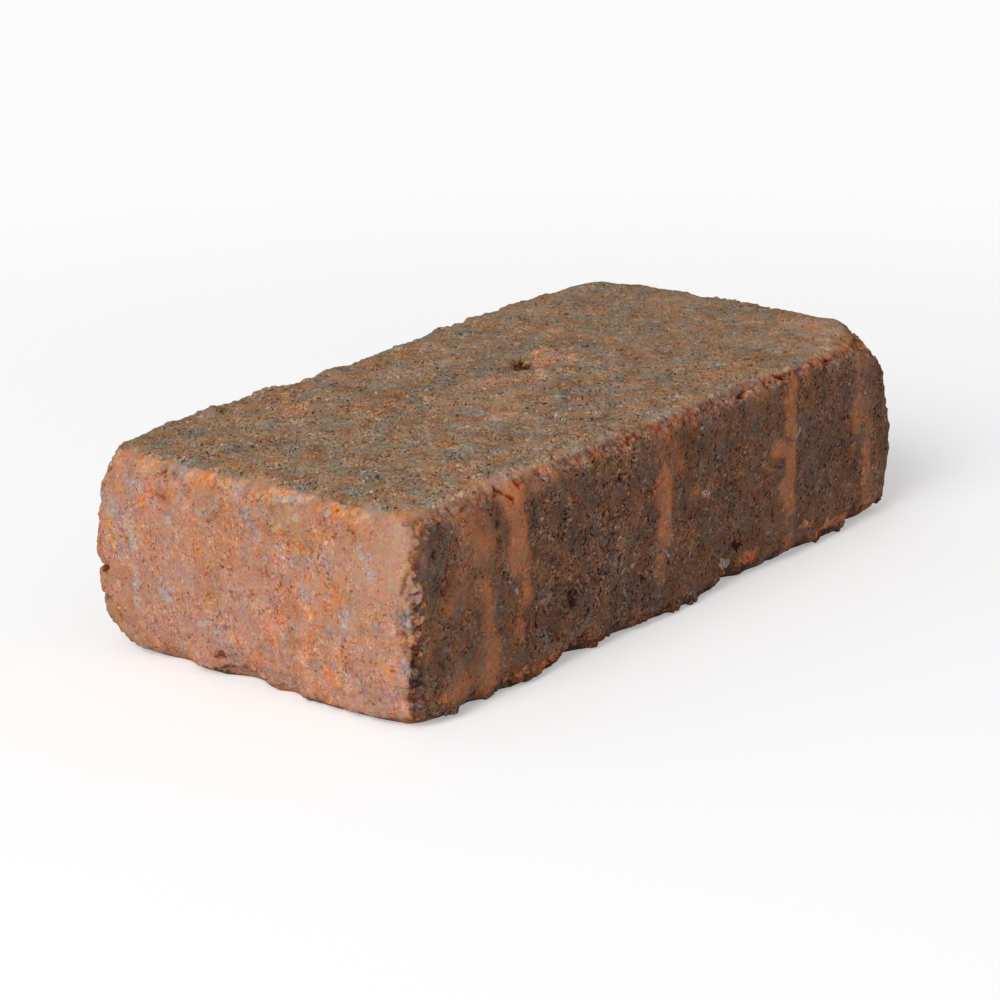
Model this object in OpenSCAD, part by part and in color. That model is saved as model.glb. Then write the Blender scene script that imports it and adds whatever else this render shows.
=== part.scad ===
// Tumbled concrete paving stone.
// A small rectangular block pressed from coloured dry concrete and then rolled in a drum,
// so that its arrises are worn round, its corners are knocked back and its edges are chipped.
// Four low spacer ribs, rubbed smooth, run up the near side and keep it off the next stone.
// The stone lies on its bed face: X runs along its length, Y across it and Z up.
// The origin is the middle of the bed face.

/* [Stone] */
// Length of the stone
stone_l = 177.8; // [140:0.1:240]
// Width of the stone
stone_w = 88.9; // [70:0.1:140]
// Height of the stone
stone_h = 44.4; // [36:0.1:80]

/* [Tumbling wear] */
// Radius that the drum leaves on the top arrises
top_arris_r = 4; // [2.5:0.1:5]
// Radius that the drum leaves on the bottom arrises
bed_arris_r = 3.1; // [2.5:0.1:5]
// Radius of the upright edges half way up: near left, near right, far right, far left
upright_r = [4.5, 4, 6, 4]; // [3:0.1:8]
// How much the arris radii swell and shrink along the stone
arris_wave = 1.1; // [0:0.1:1.5]
// Distance between two swells of an arris
arris_pitch = 70; // [40:1:100]
// Knock on the top corners: near left, near right, far right, far left
top_knock = [2.5, 12, 3.5, 7.5]; // [2:0.5:14]
// Knock on the bed corners: near left, near right, far right, far left
bed_knock = [3, 6, 4, 8]; // [2:0.5:12]
// How far a knock reaches from its corner
knock_reach = 14; // [8:1:18]
// Part of a knock that also widens the arrises that meet at the corner
knock_spread = 0.8; // [0.3:0.1:1]

/* [Faces] */
// Places of the spacer ribs along the near side, from the middle of the stone
rib_x = [-56, -7, 41, 72]; // [-80:1:80]
// Width of a spacer rib
rib_w = 6; // [5:0.5:10]
// Width of the slope at each side of a rib
rib_slope = 2; // [1:0.5:4]
// How far a rib stands out of the near side
rib_h = 0.4; // [0:0.1:1]
// Depth of the slow hollows over the faces
face_relief = 0.5; // [0:0.1:1]
// Distance between two slow hollows
face_pitch = 38; // [20:1:60]

/* [Chips] */
// Chips that the drum leaves along each long arris
long_chips = 15; // [4:1:24]
// Chips along each short and each upright arris
short_chips = 7; // [2:1:12]
// Width of the smallest chip
chip_w_min = 7; // [5:0.5:8]
// Width of the largest chip
chip_w_max = 13; // [9:0.5:16]
// Depth of the deepest of these chips
chip_depth = 1.2; // [0.5:0.1:2]
// Seed of the chips' places
chip_seed = 11; // [1:1:99]

/* [Facets] */
// Facets along the straight part of a long side
long_steps = 58; // [30:1:60]
// Facets along the straight part of a short side
short_steps = 24; // [14:1:28]
// Facets up the straight part of a side
side_steps = 10; // [6:1:12]
// Facets round each worn arris
arris_steps = 5; // [4:1:6]

/* [Hidden] */

corner_steps = 3;
thinnest_arris_r = 1.5;
// Where along the stone the bed arrises and the top arrises swell
bed_phase = 70;
top_phase = 200;
// Share by which the soft skirt of a chip reaches beyond its width
chip_skirt = 1.5;
// How far below the bed the block is drawn before it is cut flat there
bed_cut = 0.3;
half_l = stone_l / 2;
half_w = stone_w / 2;
nx = long_steps + 2 * corner_steps;
ny = short_steps + 2 * corner_steps;
round_n = 2 * (nx + ny);

// The four sides run round the stone from its near left corner: front, right, back, left
SIDE_DIR = [[1, 0], [0, 1], [-1, 0], [0, -1]];
SIDE_OUT = [[0, -1], [1, 0], [0, 1], [-1, 0]];
SIDE_HALF = [half_l, half_w, half_l, half_w];
SIDE_AWAY = [half_w, half_l, half_w, half_l];
SIDE_STEPS = [nx, ny, nx, ny];
CORNERS = [[-half_l, -half_w], [half_l, -half_w], [half_l, half_w], [-half_l, half_w]];

function mix(a, b, t) = a + (b - a) * t;

// Share of a knock that is left at a distance from its corner
function fade(d) = exp(-pow(d / knock_reach, 2));

// Radius of one upright edge at a height: it grows towards its knocked corners
function edge_r(c, z) = upright_r[c] + bed_knock[c] * fade(z) + top_knock[c] * fade(stone_h - z);

// Outline of the stone at a height: place and outward direction of step i of side k
function on_outline(k, i, z) =
    let (n = SIDE_STEPS[k], dir = SIDE_DIR[k], out = SIDE_OUT[k],
         ra = edge_r(k, z), rb = edge_r((k + 1) % 4, z),
         turn = i < corner_steps ? -45 * (1 - i / corner_steps)
              : i > n - corner_steps ? 45 * (1 - (n - i) / corner_steps) : 0,
         normal = out * cos(turn) + dir * sin(turn),
         r = turn < 0 ? ra : turn > 0 ? rb : 0,
         run = turn < 0 ? ra - SIDE_HALF[k]
             : turn > 0 ? SIDE_HALF[k] - rb
             : mix(ra - SIDE_HALF[k], SIDE_HALF[k] - rb, (i - corner_steps) / (n - 2 * corner_steps)))
    [dir * run + out * (SIDE_AWAY[k] - r) + normal * r, normal];

// Worn radius of an arris at a place in plan. It swells and shrinks along the stone, is wide at
// knocked corners, and stays under the radius of the upright edge that it meets
function ripple(p, phase) =
    let (turn = 360 / arris_pitch)
    0.6 * sin(turn * (p.x + p.y) + phase) + 0.4 * sin(2.2 * turn * (p.x - p.y) + 2 * phase);
function knock_at(p, knock) = max([for (c = [0:3]) knock[c] * fade(norm(p - CORNERS[c]))]);
function room_at(p, z) = min([for (c = [0:3]) 0.75 * edge_r(c, z) + 0.25 * norm(p - CORNERS[c])]);
function arris_r(p, z, r, knock, phase) =
    let (worn = r + arris_wave * ripple(p, phase) + knock_spread * knock_at(p, knock))
    min(room_at(p, z), max(thinnest_arris_r, worn));

// Slow hollows of the faces, always inward
function hollow(p) =
    let (turn = 360 / face_pitch)
    face_relief * (0.5 + 0.3 * sin(turn * p.x + 40) * cos(turn * p.y * 0.7 + turn * p.z * 0.9)
                       + 0.2 * sin(turn * 0.6 * (p.y - p.x) + turn * p.z * 1.4));

// The largest chips, each [distance along its arris, width, depth]. On the long arrises and the
// short ones the distance is from the near left corner's end, and upright it is from the bed
FRONT_TOP_CHIPS = [[29, 9, 2], [66, 8, 1.6], [94, 6, 1], [117, 9, 1.6]];
FRONT_BED_CHIPS = [[20, 9, 2.8], [29, 7, 2.6], [49, 7, 2], [54, 9, 4.9], [103, 6, 1.6],
                   [110, 11, 4.8], [119, 8, 2.8], [126, 7, 3], [138, 6, 2.4], [160, 10, 3.6]];
LEFT_TOP_CHIPS = [[31, 9, 1.5], [42, 7, 1], [64, 7, 1.2]];
LEFT_BED_CHIPS = [[36, 10, 3], [47, 13, 4.2], [66, 12, 2.6]];
BACK_TOP_CHIPS = [[28, 12, 0.8], [46, 16, 1], [64, 18, 1.6], [84, 20, 1.2]];
LEFT_EDGE_CHIPS = [[5, 13, 2.2], [15, 9, 1.2]];
RIGHT_EDGE_CHIPS = [[9, 8, 1], [26, 12, 1.6], [38, 8, 1.2]];
LARGE_CHIPS = concat(
    [for (c = FRONT_TOP_CHIPS) [[c[0] - half_l, -half_w, stone_h], c[1] / 2, c[2]]],
    [for (c = FRONT_BED_CHIPS) [[c[0] - half_l, -half_w, 0], c[1] / 2, c[2]]],
    [for (c = LEFT_TOP_CHIPS) [[-half_l, c[0] - half_w, stone_h], c[1] / 2, c[2]]],
    [for (c = LEFT_BED_CHIPS) [[-half_l, c[0] - half_w, 0], c[1] / 2, c[2]]],
    [for (c = BACK_TOP_CHIPS) [[c[0] - half_l, half_w, stone_h], c[1] / 2, c[2]]],
    [for (c = LEFT_EDGE_CHIPS) [[-half_l, -half_w, c[0]], c[1] / 2, c[2]]],
    [for (c = RIGHT_EDGE_CHIPS) [[half_l, -half_w, c[0]], c[1] / 2, c[2]]]);

// A chip is [place, radius, depth]; along an arris each small chip has a seeded place, width and depth
function chips_along(a, b, count, seed) =
    let (roll = rands(0, 1, 3 * count, seed))
    [for (i = [0:count - 1])
        let (share = (i + 0.15 + 0.7 * roll[3 * i]) / count)
        [mix(a, b, share),
         mix(chip_w_min, chip_w_max, pow(roll[3 * i + 1], 2)) / 2,
         chip_depth * mix(0.2, 1, roll[3 * i + 2])]];

function corner_at(c, z) = [CORNERS[c].x, CORNERS[c].y, z];
CHIPS = concat(
    LARGE_CHIPS,
    [for (k = [0:3], level = [0, 1])
        each chips_along(corner_at(k, level * stone_h), corner_at((k + 1) % 4, level * stone_h),
                         k % 2 == 0 ? long_chips : short_chips, chip_seed + 10 * k + level)],
    [for (c = [0:3])
        each chips_along(corner_at(c, 0), corner_at(c, stone_h), short_chips, chip_seed + 50 + c)]);

// Each chip is a bowl with a soft skirt, and where chips meet the deeper one counts
function bowl(p, chip) =
    let (d = norm(p - chip[0]) / (chip[1] * chip_skirt))
    d < 1 ? chip[2] * pow(1 - d * d, 2) : 0;
function wear(p) = hollow(p) + max([for (chip = CHIPS) bowl(p, chip)]);

// The near side lies back between its spacer ribs, which alone reach the full width
function on_rib(x) =
    let (away = min([for (rib = rib_x) abs(x - rib)]))
    min(1, max(0, (rib_w / 2 + rib_slope - away) / rib_slope));
function set_back(k, p) = k == 0 ? rib_h * (1 - on_rib(p.x)) : 0;

// Rings of the wall: up round the bed arris, up the side and round the top arris.
// Each ring is [tilt of the surface, share of the straight side below it]
RINGS = concat(
    [for (i = [0:arris_steps - 1]) [-90 + 90 * i / arris_steps, 0]],
    [for (i = [0:side_steps]) [0, i / side_steps]],
    [for (i = [1:arris_steps]) [90 * i / arris_steps, 1]]);
ring_n = len(RINGS);

function wall_point(ring, k, i) =
    let (tilt = RINGS[ring][0], share = RINGS[ring][1],
         foot = on_outline(k, i, 0)[0], head = on_outline(k, i, stone_h)[0],
         rb = arris_r(foot, 0, bed_arris_r, bed_knock, bed_phase),
         rt = arris_r(head, stone_h, top_arris_r, top_knock, top_phase),
         r = tilt < 0 ? rb : tilt > 0 ? rt : 0,
         z = mix(rb, stone_h - rt, share) + r * sin(tilt),
         spot = on_outline(k, i, z),
         flat = spot[0] - r * (1 - cos(tilt)) * spot[1],
         p = [flat.x, flat.y, z],
         sideways = [spot[1].x, spot[1].y, 0],
         normal = sideways * cos(tilt) + [0, 0, sin(tilt)])
    ring == 0 ? [p.x, p.y, -bed_cut] - wear(p) * sideways
    : p - (wear(p) + set_back(k, p) * cos(tilt)) * normal;

WALL = [for (ring = [0:ring_n - 1], k = [0:3], i = [0:SIDE_STEPS[k] - 1]) wall_point(ring, k, i)];

// The top face is a net between the four sides of the highest ring
function rim(i, j) =
    j == 0 ? i : i == nx ? nx + j : j == ny ? nx + ny + nx - i : (2 * nx + 2 * ny - j) % round_n;
function rim_point(i, j) = WALL[(ring_n - 1) * round_n + rim(i, j)];
function net_point(i, j) =
    let (u = i / nx, v = j / ny,
         p = mix(rim_point(i, 0), rim_point(i, ny), v) + mix(rim_point(0, j), rim_point(nx, j), u)
           - mix(mix(rim_point(0, 0), rim_point(nx, 0), u), mix(rim_point(0, ny), rim_point(nx, ny), u), v))
    [p.x, p.y, stone_h - wear([p.x, p.y, stone_h])];
NET = [for (j = [1:ny - 1], i = [1:nx - 1]) net_point(i, j)];

function at_wall(ring, s) = ring * round_n + s % round_n;
function at_net(i, j) =
    i == 0 || j == 0 || i == nx || j == ny ? at_wall(ring_n - 1, rim(i, j))
    : ring_n * round_n + (j - 1) * (nx - 1) + i - 1;
bed_middle = len(WALL) + len(NET);

module worn_block() {
    polyhedron(
        points = concat(WALL, NET, [[0, 0, -bed_cut]]),
        faces = concat(
            [for (s = [0:round_n - 1]) [bed_middle, at_wall(0, s), at_wall(0, s + 1)]],
            [for (ring = [0:ring_n - 2], s = [0:round_n - 1])
                each [[at_wall(ring, s), at_wall(ring + 1, s), at_wall(ring + 1, s + 1)],
                      [at_wall(ring, s), at_wall(ring + 1, s + 1), at_wall(ring, s + 1)]]],
            [for (j = [0:ny - 1], i = [0:nx - 1])
                each [[at_net(i, j), at_net(i, j + 1), at_net(i + 1, j + 1)],
                      [at_net(i, j), at_net(i + 1, j + 1), at_net(i + 1, j)]]]));
}

// The pallet that the stone is pressed on leaves its bed as one flat face
module paving_stone() {
    color([0.54, 0.4, 0.31])
    difference() {
        worn_block();
        translate([-stone_l, -stone_w, -stone_h])
        cube([2 * stone_l, 2 * stone_w, stone_h]);
    }
}

paving_stone();
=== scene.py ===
import math
import bmesh
import bpy
import numpy as np
from mathutils import Matrix, Vector, noise


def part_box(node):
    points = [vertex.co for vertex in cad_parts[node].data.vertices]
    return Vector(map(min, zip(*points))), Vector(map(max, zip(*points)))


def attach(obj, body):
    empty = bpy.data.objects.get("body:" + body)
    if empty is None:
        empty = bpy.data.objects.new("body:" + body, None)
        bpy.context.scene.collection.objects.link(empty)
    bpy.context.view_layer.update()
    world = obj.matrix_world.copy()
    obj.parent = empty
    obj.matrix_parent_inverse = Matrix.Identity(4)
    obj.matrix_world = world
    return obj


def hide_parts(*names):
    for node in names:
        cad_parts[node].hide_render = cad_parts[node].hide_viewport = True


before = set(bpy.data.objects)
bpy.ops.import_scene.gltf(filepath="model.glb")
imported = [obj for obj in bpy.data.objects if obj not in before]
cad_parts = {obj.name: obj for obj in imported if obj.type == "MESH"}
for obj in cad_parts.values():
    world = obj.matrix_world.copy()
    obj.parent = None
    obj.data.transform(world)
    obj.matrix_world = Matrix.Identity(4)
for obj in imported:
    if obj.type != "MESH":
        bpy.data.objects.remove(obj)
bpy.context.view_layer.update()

# The tumbled paving stone. One block of terracotta and charcoal concrete, pressed dry in a mould,
# cured, and rolled in a drum with others until its arrises were worn and its corners knocked back.
# Its skin here is a close net drawn over the whole block, rough where the drum has bruised it.
MM = 0.001
WELD_REACH = 0.01 * MM
NET_PITCH = 0.5 * MM
EASE_SHARE = 0.5
EASE_PASSES = 6
BED_FLAT = 0.3
BED_BORDER = 7.0
BED_NET_SHARE = 0.03
ARRIS_BAND = 4.2
CHIP_DEPTH = 1.2
CHIP_FLOOR = 0.5
FACE_NET_SHARE = 0.4
CHOSEN_FIRST = 1000.0

low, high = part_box("paving_stone")
LEFT, FRONT, BED = np.array(low) / MM
RIGHT, BACK, TOP = np.array(high) / MM


def ramp(start, end, x):
    """Turns smoothly from 0 at the start to 1 at the end"""
    t = np.clip((x - start) / (end - start), 0.0, 1.0)
    return t * t * (3.0 - 2.0 * t)


def applied(ob):
    """Carries out the modifiers of an object and gives its new mesh"""
    bpy.context.view_layer.update()
    mesh = bpy.data.meshes.new_from_object(ob.evaluated_get(bpy.context.evaluated_depsgraph_get()))
    ob.modifiers.clear()
    ob.data = mesh
    return mesh


def points_of(mesh):
    """Where the points of a mesh lie, in mm"""
    flat = np.empty(len(mesh.vertices) * 3, np.float32)
    mesh.vertices.foreach_get("co", flat)
    return flat.reshape(-1, 3).astype(float) / MM


def normals_of(mesh):
    """Which way the points of a mesh face"""
    flat = np.empty(len(mesh.vertices) * 3, np.float32)
    mesh.vertex_normals.foreach_get("vector", flat)
    return flat.reshape(-1, 3).astype(float)


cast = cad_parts["paving_stone"].data.copy()
welded = bmesh.new()
welded.from_mesh(cast)
bmesh.ops.remove_doubles(welded, verts=welded.verts, dist=WELD_REACH)
welded.to_mesh(cast)
welded.free()
cast.materials.clear()
stone = bpy.data.objects.new("tumbled_stone", cast)
bpy.context.scene.collection.objects.link(stone)

net = stone.modifiers.new("net", "REMESH")
net.mode = "VOXEL"
net.voxel_size = NET_PITCH
ease = stone.modifiers.new("ease", "SMOOTH")
ease.factor = EASE_SHARE
ease.iterations = EASE_PASSES
skin = applied(stone)


def thinned(chosen, share):
    """Widens the net at the chosen points, of which only a share is kept"""
    group = stone.vertex_groups.new(name="chosen")
    group.add(np.nonzero(chosen)[0].tolist(), 1.0, "REPLACE")
    thin = stone.modifiers.new("thin", "DECIMATE")
    thin.vertex_group = "chosen"
    thin.vertex_group_factor = CHOSEN_FIRST
    thin.ratio = 1.0 - (1.0 - share) * chosen.sum() / len(chosen)
    mesh = applied(stone)
    stone.vertex_groups.clear()
    return mesh


def behind_planes(places):
    """How deep places lie behind the block's nearer end, nearer long side and nearer broad face"""
    x, y, z = places.T
    return np.stack([RIGHT - np.abs(x), BACK - np.abs(y), np.minimum(z, TOP - z)], 1)


def depths(places):
    """How deep places lie behind the nearest and the next nearest plane of the block"""
    return np.sort(behind_planes(places), 1)[:, :2].T


# The bed face is flat and out of sight, so its middle is drawn with a much wider net. The other
# faces get a rather wider one, and the net stays closest at the bruised arrises.
points = points_of(skin)
x, y, z = points.T
in_bed = (z < BED_FLAT) & (np.abs(x) < RIGHT - BED_BORDER) & (np.abs(y) < BACK - BED_BORDER)
skin = thinned(in_bed, BED_NET_SHARE)
points = points_of(skin)
sunk, from_arris = depths(points)
in_face = (from_arris > ARRIS_BAND) & (sunk < CHIP_DEPTH) & (points[:, 2] > CHIP_FLOOR)
skin = thinned(in_face, FACE_NET_SHARE)
print("skin", len(skin.vertices), "points", sum(len(p.vertices) - 2 for p in skin.polygons), "triangles")

# Where each point of the skin lies: how near to an arris or in a scooped chip, and on which face.
# High up, the pale end's colour wraps a little further round the near upright.
points = points_of(skin)
outward = normals_of(skin)
x, y, z = points.T
sunk, from_arris = depths(points)
chipped = ramp(1.3, 2.6, sunk)
arris = np.maximum(1.0 - ramp(1.2, 5.0, from_arris), chipped)
on_bed = 1.0 - ramp(0.02, 0.5, z)
on_top = ramp(0.78, 0.93, outward[:, 2])
on_front = ramp(0.35, 0.8, -outward[:, 1])
near_top = ramp(TOP - 8.0, TOP - 3.0, z)
near_bed = 1.0 - ramp(3.0, 9.0, z)
wrap = 0.5 - 0.25 * ramp(14.0, 30.0, z)
on_left = ramp(wrap, wrap + 0.3, -outward[:, 0])


def face_share(facing, inward):
    """Share of each point that counts as part of one face, by its facing and its depth from it"""
    return np.maximum(ramp(0.1, 0.4, facing) * (1.0 - ramp(6.0, 9.0, inward)), 1e-4)


# Shares on the pale end, the long side and the wearing face. A place on one of them is given by two
# measures in mm, and ANY stands for the third, because the place holds at any depth.
FACE_SHARES = [face_share(-outward[:, 0], x - LEFT), face_share(-outward[:, 1], y - FRONT),
               face_share(outward[:, 2], TOP - z)]
ANY = float("nan")


def on_end(across, up):
    """A place on the pale end"""
    return (ANY, across, up)


def on_side(along, up):
    """A place on the long side"""
    return (along, ANY, up)


def on_wear(along, across):
    """A place on the wearing face"""
    return (along, across, ANY)


def away_from(path):
    """Distance of each point from the line through the places of a path, seen square to their face"""
    path = np.array(path, float)
    through = np.isnan(path[0])
    path[:, through] = 0.0
    seen = np.where(through, 0.0, points)
    gaps = []
    for start, end in zip(path, path[1:] if len(path) > 1 else path):
        run = end - start
        share = np.clip((seen - start) @ run / max(run @ run, 1e-9), 0.0, 1.0)
        gaps.append(np.linalg.norm(seen - start - share[:, None] * run, axis=1))
    gap = np.min(gaps, 0)
    return gap / FACE_SHARES[through.argmax()] if through.any() else gap


def wave(pitch, shift):
    """Smooth noise with its swells a pitch apart"""
    return np.array([noise.noise(Vector(place)) for place in points / pitch + shift])


def pits(pitch, widest, deepest, share, shift):
    """Depth of round pits of mixed sizes, at a share of the places that a pitch gives room for"""
    depth = np.zeros(len(points))
    for i, place in enumerate(points / pitch + shift):
        distances, seeds = noise.voronoi(Vector(place))
        number = noise.cell(seeds[0] * 57.0)
        if number > 1.0 - share:
            size = (number - 1.0 + share) / share
            reach = widest * (0.45 + 0.55 * size) / pitch
            if distances[0] < reach:
                depth[i] = deepest * (0.4 + 0.6 * size) * (1.0 - (distances[0] / reach) ** 2)
    return depth


def crumbs(pitch, shift, stretch=1.0):
    """How deep each point lies in the creases between rounded crumbs, and its crumb's own number"""
    edge = np.empty(len(points))
    number = np.empty(len(points))
    for i, place in enumerate(points / (pitch * stretch) + shift):
        distances, seeds = noise.voronoi(Vector(place))
        edge[i] = distances[1] - distances[0]
        number[i] = noise.cell(seeds[0] * 57.0)
    return 1.0 - ramp(0.0, 0.5, edge), number


# Holes, pits and slits left where coarse grains fell out: radius, depth and where each runs
HOLES = [(1.2, 1.6, on_side(-38.6, 14.8), on_side(-38.2, 12.8)),
         (0.9, 1.2, on_side(-22.3, 35.2), on_side(-20.8, 35.4)), (0.9, 0.9, on_side(-62.4, 36.2)),
         (0.7, 0.6, on_side(-62.8, 33.6), on_side(-61.8, 32.4)),
         (0.5, 1.1, on_side(-59.6, 42.8), on_side(-57.4, 40.2)), (0.6, 0.7, on_side(-55.0, 43.0)),
         (1.1, 1.2, on_side(22.8, 8.4), on_side(20.8, 9.2)), (0.7, 0.7, on_side(-5.3, 12.8)),
         (0.7, 0.8, on_side(38.5, 43.0), on_side(40.0, 42.4)),
         (0.6, 0.8, on_side(23.0, 42.0), on_side(26.5, 41.6)), (0.6, 0.4, on_side(-78.5, 33.4)),
         (0.6, 0.5, on_side(-53.7, 25.6)), (0.7, 0.5, on_side(70.0, 26.8)),
         (1.4, 1.5, (-86.6, -43.2, 5.4), (-85.4, -43.8, 6.6)),
         (0.9, 0.9, (-78.5, FRONT, 3.0), (-76.0, FRONT, 2.0)),
         (0.9, 0.5, on_end(19.3, 42.4), on_end(18.9, 41.4)),
         (0.5, 0.4, on_end(-0.5, 41.3), on_end(-0.7, 40.6)),
         (0.8, 0.4, on_end(-9.5, 41.0), on_end(-10.6, 39.6)),
         (0.5, 0.4, on_end(22.6, 36.4), on_end(21.2, 35.6)),
         (0.8, 0.3, on_end(23.2, 18.6), on_end(22.2, 16.0)),
         (1.0, 0.9, on_end(8.0, 5.4), on_end(9.2, 4.8)), (0.6, 0.5, on_end(-2.0, 4.4), on_end(-3.0, 4.0)),
         (0.4, 0.5, on_end(-41.5, 33.0), on_end(-40.3, 29.0)),
         (1.2, 1.3, (-88.4, 39.4, 17.6), (-86.4, 42.2, 17.8), (-83.6, 43.6, 17.8)),
         (1.0, 0.8, (-87.0, 38.0, 40.2), (-83.4, 42.2, 40.2), (-79.0, 43.0, 40.2)),
         (0.8, 0.6, (-88.4, 38.0, 11.4), (-86.0, 42.2, 11.0), (-81.0, 44.2, 11.2)),
         (0.5, 0.4, on_end(-28.5, 38.8)), (0.6, 0.4, on_end(-32.3, 4.4)), (0.6, 0.4, on_end(29.0, 6.0)),
         (2.4, 1.2, on_wear(9.4, 6.2), on_wear(12.0, 7.4)),
         (0.7, 0.5, on_wear(18.0, 7.6), on_wear(21.0, 9.6)), (0.8, 0.7, on_wear(15.2, 19.6)),
         (0.7, 1.0, on_wear(-17.3, -22.5), on_wear(-19.6, -27.0)),
         (0.6, 0.6, on_wear(3.5, -12.6), on_wear(-2.0, -15.4)),
         (0.6, 0.5, on_wear(-4.0, -18.0), on_wear(-9.0, -20.0)),
         (0.6, 0.5, on_wear(-12.0, -19.5), on_wear(-15.0, -20.0)),
         (1.0, 0.9, on_wear(-33.0, 38.5), on_wear(-36.0, 39.5)),
         (0.6, 0.5, on_wear(-26.5, 17.2), on_wear(-25.0, 18.0)), (0.6, 0.5, on_wear(15.5, -12.5)),
         (0.6, 0.5, on_wear(43.0, -39.6), on_wear(45.0, -39.0)), (0.7, 0.5, on_wear(55.0, 32.0))]
# Lumps that stand out on the two uprights of the pale end: reach, height and where each lies or runs
LUMPS = [(2.6, 1.0, (-86.2, 42.0, 14.4)), (3.0, 1.0, (-85.6, 42.4, 8.6), (-85.0, 42.2, 5.4)),
         (2.6, 0.6, (-85.6, 42.6, 27.0), (-85.8, 42.6, 22.0)), (2.0, 0.5, (-84.4, 42.4, 34.0)),
         (1.7, 0.7, (LEFT + 1.4, FRONT + 1.9, 43.0), (LEFT + 1.4, FRONT + 1.9, 4.0))]
# Where the spacer ribs and the worn patches about them have been rubbed smooth: share, half width, run
RUBS = [(1.0, 3.2, on_side(-57.0, 40.0), on_side(-56.2, 27.0)),
        (0.75, 2.2, on_side(-55.2, 25.0), on_side(-54.2, 19.0)),
        (0.55, 1.1, on_side(-56.4, 20.0), on_side(-56.2, 11.0)),
        (0.6, 2.2, on_side(-56.0, 40.6), on_side(-49.0, 40.6)),
        (0.7, 2.4, on_side(-66.4, 25.0), on_side(-66.2, 13.0)),
        (0.8, 2.9, on_side(-65.0, 11.0), on_side(-65.6, 4.0)),
        (0.55, 2.6, on_side(-76.0, 5.6), on_side(-66.0, 6.6)),
        (0.6, 4.6, on_side(-72.0, 39.0), on_side(-66.5, 34.0)),
        (0.5, 4.5, on_side(-7.0, 41.0), on_side(-4.0, 34.0)),
        (1.0, 3.3, on_side(-6.8, 30.6), on_side(-6.6, 26.0)),
        (0.95, 2.9, on_side(-6.6, 26.0), on_side(-6.4, 18.4)),
        (0.5, 2.2, on_side(-8.0, 15.0), on_side(-8.2, 10.0)),
        (0.7, 2.4, on_side(43.5, 40.4), on_side(42.0, 38.0)),
        (0.9, 2.6, on_side(41.0, 36.0), on_side(41.8, 30.6)),
        (0.7, 2.2, on_side(36.5, 27.0), on_side(41.5, 26.0)),
        (0.85, 2.3, on_side(41.6, 26.0), on_side(41.2, 20.0)),
        (0.85, 3.2, on_side(41.2, 18.0), on_side(41.0, 13.0)),
        (0.45, 2.4, on_side(41.0, 11.0), on_side(41.0, 4.0)),
        (0.5, 2.2, on_side(70.5, 40.0), on_side(70.0, 30.0)),
        (0.75, 2.1, on_side(69.8, 30.0), on_side(69.4, 23.5)),
        (0.75, 2.0, on_side(73.2, 18.6), on_side(73.4, 13.0)),
        (0.65, 2.0, on_side(72.4, 12.0), on_side(75.0, 3.0))]

ragged = wave(1.7, 51.0)
holes = np.zeros(len(points))
for radius, deepest, *path in HOLES:
    room = 1.0 - ((away_from(path) + 0.8 * radius * ragged) / radius) ** 2
    holes = np.maximum(holes, deepest * np.sqrt(np.clip(room, 0.0, 1.0)))

lumps = np.zeros(len(points))
for reach, height, *path in LUMPS:
    lumps = np.maximum(lumps, height * (1.0 - ramp(0.4, 1.6, away_from(path) / reach)))

weave = wave(4.5, 61.0)
rubbed = np.zeros(len(points))
for share, half, *path in RUBS:
    rubbed = np.maximum(rubbed, share * (1.0 - ramp(0.4, 1.5, away_from(path) / half + 0.6 * weave)))

# The cast surface in waves, creases and pits, each with its pitch in mm and a shift of its own
swell = wave(14.0, 3.1)
lump = wave(5.5, 7.7)
grain = wave(2.2, 1.3)
grit = wave(1.2, 9.2)
chunk_crease, chunk = crumbs(5.0, 71.0)
crease, crumb = crumbs(2.7, 21.0)
fine_crease, fine_crumb = crumbs(1.5, 43.0)
small_pits = pits(2.6, 1.0, 0.55, 0.5, 5.0)
large_pits = pits(6.5, 1.9, 1.2, 0.28, 13.0)
# Notches run square across an arris, so their crumbs are short along it and long across it
along_arris = np.eye(3)[behind_planes(points).argmax(1)]
notch_crease, notch = crumbs(2.1, 87.0, 2.6 - 1.6 * along_arris)

# How rough the faces are, how far the drum has bruised each arris, and what crumbs are gone from it.
# The near upright's lower half is the worst, the pale end's top arris is worn smooth.
rough = 0.45 + 0.85 * on_front + 0.45 * on_top - 0.8 * rubbed
worst_edge = np.exp(-(away_from([(LEFT, FRONT + 1.6, 0), (LEFT, FRONT + 1.6, 27)]) / 5.2) ** 2)
smooth_arris = near_top * on_left
bruised = arris * (1.0 + 0.3 * near_bed + 0.2 * near_top - 0.8 * smooth_arris)
bruised = np.clip(bruised + 0.6 * worst_edge, 0.0, 1.3) * (1.0 - 0.5 * near_bed * on_left)
lost = ramp(0.62, 0.85, crumb)
chunks_lost = (0.3 + 0.4 * near_bed) * (1.0 - 0.8 * worst_edge) * (1.0 - 0.8 * on_left)
MOST_GONE = 1.6
gap = 0.25 * crease + 0.3 * lost * (1.0 - near_top)
gap += 0.3 * fine_crease
gap += 0.3 * ramp(0.6, 0.9, fine_crumb)
gap += 0.35 * notch_crease
gap += 0.6 * ramp(0.55, 0.8, notch)
gap += chunks_lost * (0.3 * chunk_crease + 0.9 * ramp(0.5, 0.7, chunk))
gap = np.clip(gap, 0.0, MOST_GONE)

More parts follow.
